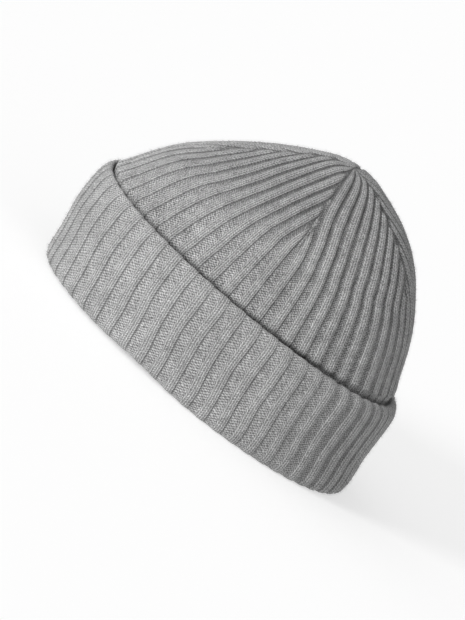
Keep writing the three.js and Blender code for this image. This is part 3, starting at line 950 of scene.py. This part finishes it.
CROWN_COLOUR = (0.49, 0.49, 0.49)
CUFF_COLOUR = (0.505, 0.505, 0.505)
crown_wool = wool("crown_wool", CROWN_COLOUR, contrast=1.7, purl_shade=0.85)
cuff_wool = wool("cuff_wool", CUFF_COLOUR, contrast=1.3, purl_shade=0.73)
crown_knit.data.materials.append(crown_wool)
cuff_knit.data.materials.append(cuff_wool)
for piece, node, slot in ((crown_knit, "crown", "crown_knit"), (cuff_knit, "cuff", "cuff_knit")):
    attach(piece, "root")
    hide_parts(node)

# %% [markdown]
# ## Loose fibres
# Carded wool never lies quite flat: short fibre ends stand off the yarn and blur the cap's
# outline. Each one here is a thin spike with three sides, rooted in the knit at a place drawn
# at random by area, and leaning at random from the surface's normal. Most are short, and a
# few stand out three millimetres.

# %% Fuzz
FIBRES_PER_PIECE = 46000
FIBRE_RADIUS = 0.000052
FIBRE_ROOT = 0.00015
FIBRE_LENGTHS = (0.0009, 0.0032)
FIBRE_UPRIGHT = 0.8
FIBRE_SCATTER = 0.6


def unit(vectors):
    """Vectors made one long."""
    return vectors / np.linalg.norm(vectors, axis=-1, keepdims=True)


def fuzz_mesh(name, skin, seed):
    """Fibres on a grid of skin points, each a spike with a three-cornered root. Its length is
    shortest + (longest - shortest) x share^3, the share drawn evenly from 0 to 1, and its way
    is the skin's normal times how upright it is, plus a scatter."""
    random = np.random.default_rng(seed)
    right = (np.roll(skin, -1, axis=1) - skin)[:-1].reshape(-1, 3)
    up = np.diff(skin, axis=0).reshape(-1, 3)
    normal = np.cross(right, up)
    area = np.linalg.norm(normal, axis=1)
    cell = random.choice(len(area), FIBRES_PER_PIECE, p=area / area.sum())
    part = random.random((2, FIBRES_PER_PIECE, 1))
    out = unit(normal[cell])
    root = skin[:-1].reshape(-1, 3)[cell] + right[cell] * part[0] + up[cell] * part[1] - out * FIBRE_ROOT
    way = unit(out * FIBRE_UPRIGHT + random.normal(0, FIBRE_SCATTER, (FIBRES_PER_PIECE, 3)))
    shortest, longest = FIBRE_LENGTHS
    length = shortest + (longest - shortest) * random.random((FIBRES_PER_PIECE, 1)) ** 3
    tip = root + way * length
    kept = np.minimum(root[:, 2], tip[:, 2]) > FIBRE_ROOT
    root, tip, way = root[kept], tip[kept], way[kept]
    side = unit(np.cross(way, np.roll(way, 1, axis=1) + (0.3, 0, 0)))
    other = np.cross(way, side)
    turns = np.arange(3) * 2 * np.pi / 3
    ring = FIBRE_RADIUS * (
        side[:, None] * np.cos(turns)[:, None] + other[:, None] * np.sin(turns)[:, None]
    )
    points = np.concatenate([root[:, None] + ring, tip[:, None]], axis=1)
    spike = np.array([(2, 1, 0), (0, 1, 3), (1, 2, 3), (2, 0, 3)])
    faces = (spike[None] + 4 * np.arange(len(points))[:, None, None]).reshape(-1, 3)
    mesh = bpy.data.meshes.new(name)
    mesh.vertices.add(points.shape[0] * 4)
    mesh.vertices.foreach_set("co", points.ravel())
    mesh.loops.add(faces.size)
    mesh.loops.foreach_set("vertex_index", faces.ravel())
    mesh.polygons.add(len(faces))
    mesh.polygons.foreach_set("loop_start", np.arange(len(faces)) * 3)
    mesh.update()
    print(name, "fibres", len(points), "triangles", len(faces))
    return add_object(name, mesh)


def plain_paint(name, grey, roughness, specular):
    """A Principled material of one grey, and its shader."""
    material = bpy.data.materials.new(name)
    material.use_nodes = True
    shader = material.node_tree.nodes["Principled BSDF"]
    shader.inputs["Base Color"].default_value = (grey, grey, grey, 1)
    shader.inputs["Roughness"].default_value = roughness
    shader.inputs["Specular IOR Level"].default_value = specular
    return material, shader


crown_fuzz = fuzz_mesh("crown_fuzz", crown_outside[4:-2] + shift, 3)
cuff_fuzz = fuzz_mesh("cuff_fuzz", cuff_outside[2:-6] + shift, 5)
fibre_paint, _ = plain_paint("fibre_wool", grey=0.33, roughness=0.8, specular=0.2)
for piece, slot in ((crown_fuzz, "crown_knit"), (cuff_fuzz, "cuff_knit")):
    piece.data.materials.append(fibre_paint)
    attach(piece, "root")

# %% [markdown]
# ## Floor, light and camera
# The cap stands on a plain white surface in a bright, even studio. One large soft light on
# its left models the ribs, and the white around fills the shade. The camera looks from a
# little to the left and above, from far away, and is rolled, so the cap leans in the picture
# though it stands level.

# %% Floor and lights
HALF_FLOOR = 6.0
FLOOR_CORNERS = ((-1, -1), (1, -1), (1, 1), (-1, 1))
floor_mesh = bpy.data.meshes.new("floor")
floor_points = [(x * HALF_FLOOR, y * HALF_FLOOR, 0) for x, y in FLOOR_CORNERS]
floor_mesh.from_pydata(floor_points, [], [(0, 1, 2, 3)])
floor = add_object("floor", floor_mesh)
floor_paint, floor_shader = plain_paint("floor_paint", grey=0.65, roughness=0.9, specular=0.1)
floor_shader.inputs["Emission Color"].default_value = (1, 1, 1, 1)
floor_shader.inputs["Emission Strength"].default_value = 0.51
floor_mesh.materials.append(floor_paint)

CAMERA_AZIMUTH = math.radians(-18)
CAMERA_ELEVATION = math.radians(11.3)
# the bright side of the sky: turn to the left of the camera in radians, height, and the
# sky's level from its darkest place, where the way to the softbox counts SKY_FROM, to 1
SOFTBOX_TURN = 0.7
SOFTBOX_HEIGHT = 0.1
SKY_FROM = -0.9
SKY_LEVELS = (0.25, 0.89)


def sun_light(name, azimuth, elevation, spread, power):
    """A far soft light of a given angular size. Its azimuth is counted from the camera's,
    positive to the picture's right, its elevation from the floor, all in degrees."""
    a, e = CAMERA_AZIMUTH + math.radians(azimuth), math.radians(elevation)
    way = Vector((math.sin(a) * math.cos(e), -math.cos(a) * math.cos(e), math.sin(e)))
    data = bpy.data.lights.new(name, "SUN")
    data.angle = math.radians(spread)
    data.energy = power
    lamp = add_object(name, data)
    lamp.rotation_euler = way.to_track_quat("Z", "Y").to_euler()


sun_light("key", azimuth=-36, elevation=12, spread=15, power=2.3)
world = bpy.data.worlds.new("studio")
bpy.context.scene.world = world
world.use_nodes = True
sky = world.node_tree
sky_way = add_node(sky, "ShaderNodeTexCoord").outputs["Generated"]
softbox_azimuth = CAMERA_AZIMUTH - SOFTBOX_TURN
softbox = (math.sin(softbox_azimuth), -math.cos(softbox_azimuth), SOFTBOX_HEIGHT)
toward = add_node(sky, "ShaderNodeVectorMath", {0: sky_way, 1: softbox}, operation="DOT_PRODUCT")
sky_level = soft_range(sky, toward.outputs["Value"], SKY_FROM, 1.0, *SKY_LEVELS)
sky.nodes["Background"].inputs["Color"].default_value = (1, 1, 1, 1)
sky.links.new(sky_level, sky.nodes["Background"].inputs["Strength"])
bpy.context.scene.view_settings.view_transform = "Standard"

# %% Camera
PICTURE_HEIGHT_PIXELS = 620
PIXELS_PER_METRE = 1900
CAMERA_DISTANCE = 9.0
CAMERA_ROLL = math.radians(40.9)
AIM_RIGHT = -0.00206
AIM_UP = 0.03972
camera_way = Vector((
    math.sin(CAMERA_AZIMUTH) * math.cos(CAMERA_ELEVATION),
    -math.cos(CAMERA_AZIMUTH) * math.cos(CAMERA_ELEVATION),
    math.sin(CAMERA_ELEVATION),
))
aim = Vector((math.cos(CAMERA_AZIMUTH) * AIM_RIGHT, math.sin(CAMERA_AZIMUTH) * AIM_RIGHT, AIM_UP))
camera_data = bpy.data.cameras.new("camera")
camera_data.lens = camera_data.sensor_width * CAMERA_DISTANCE * PIXELS_PER_METRE / PICTURE_HEIGHT_PIXELS
camera = add_object("camera", camera_data)
turn = camera_way.to_track_quat("Z", "Y").to_matrix() @ Matrix.Rotation(CAMERA_ROLL, 3, "Z")
camera.matrix_world = Matrix.Translation(aim + camera_way * CAMERA_DISTANCE) @ turn.to_4x4()
bpy.context.scene.camera = camera
print("lens, mm:", round(camera_data.lens, 1))
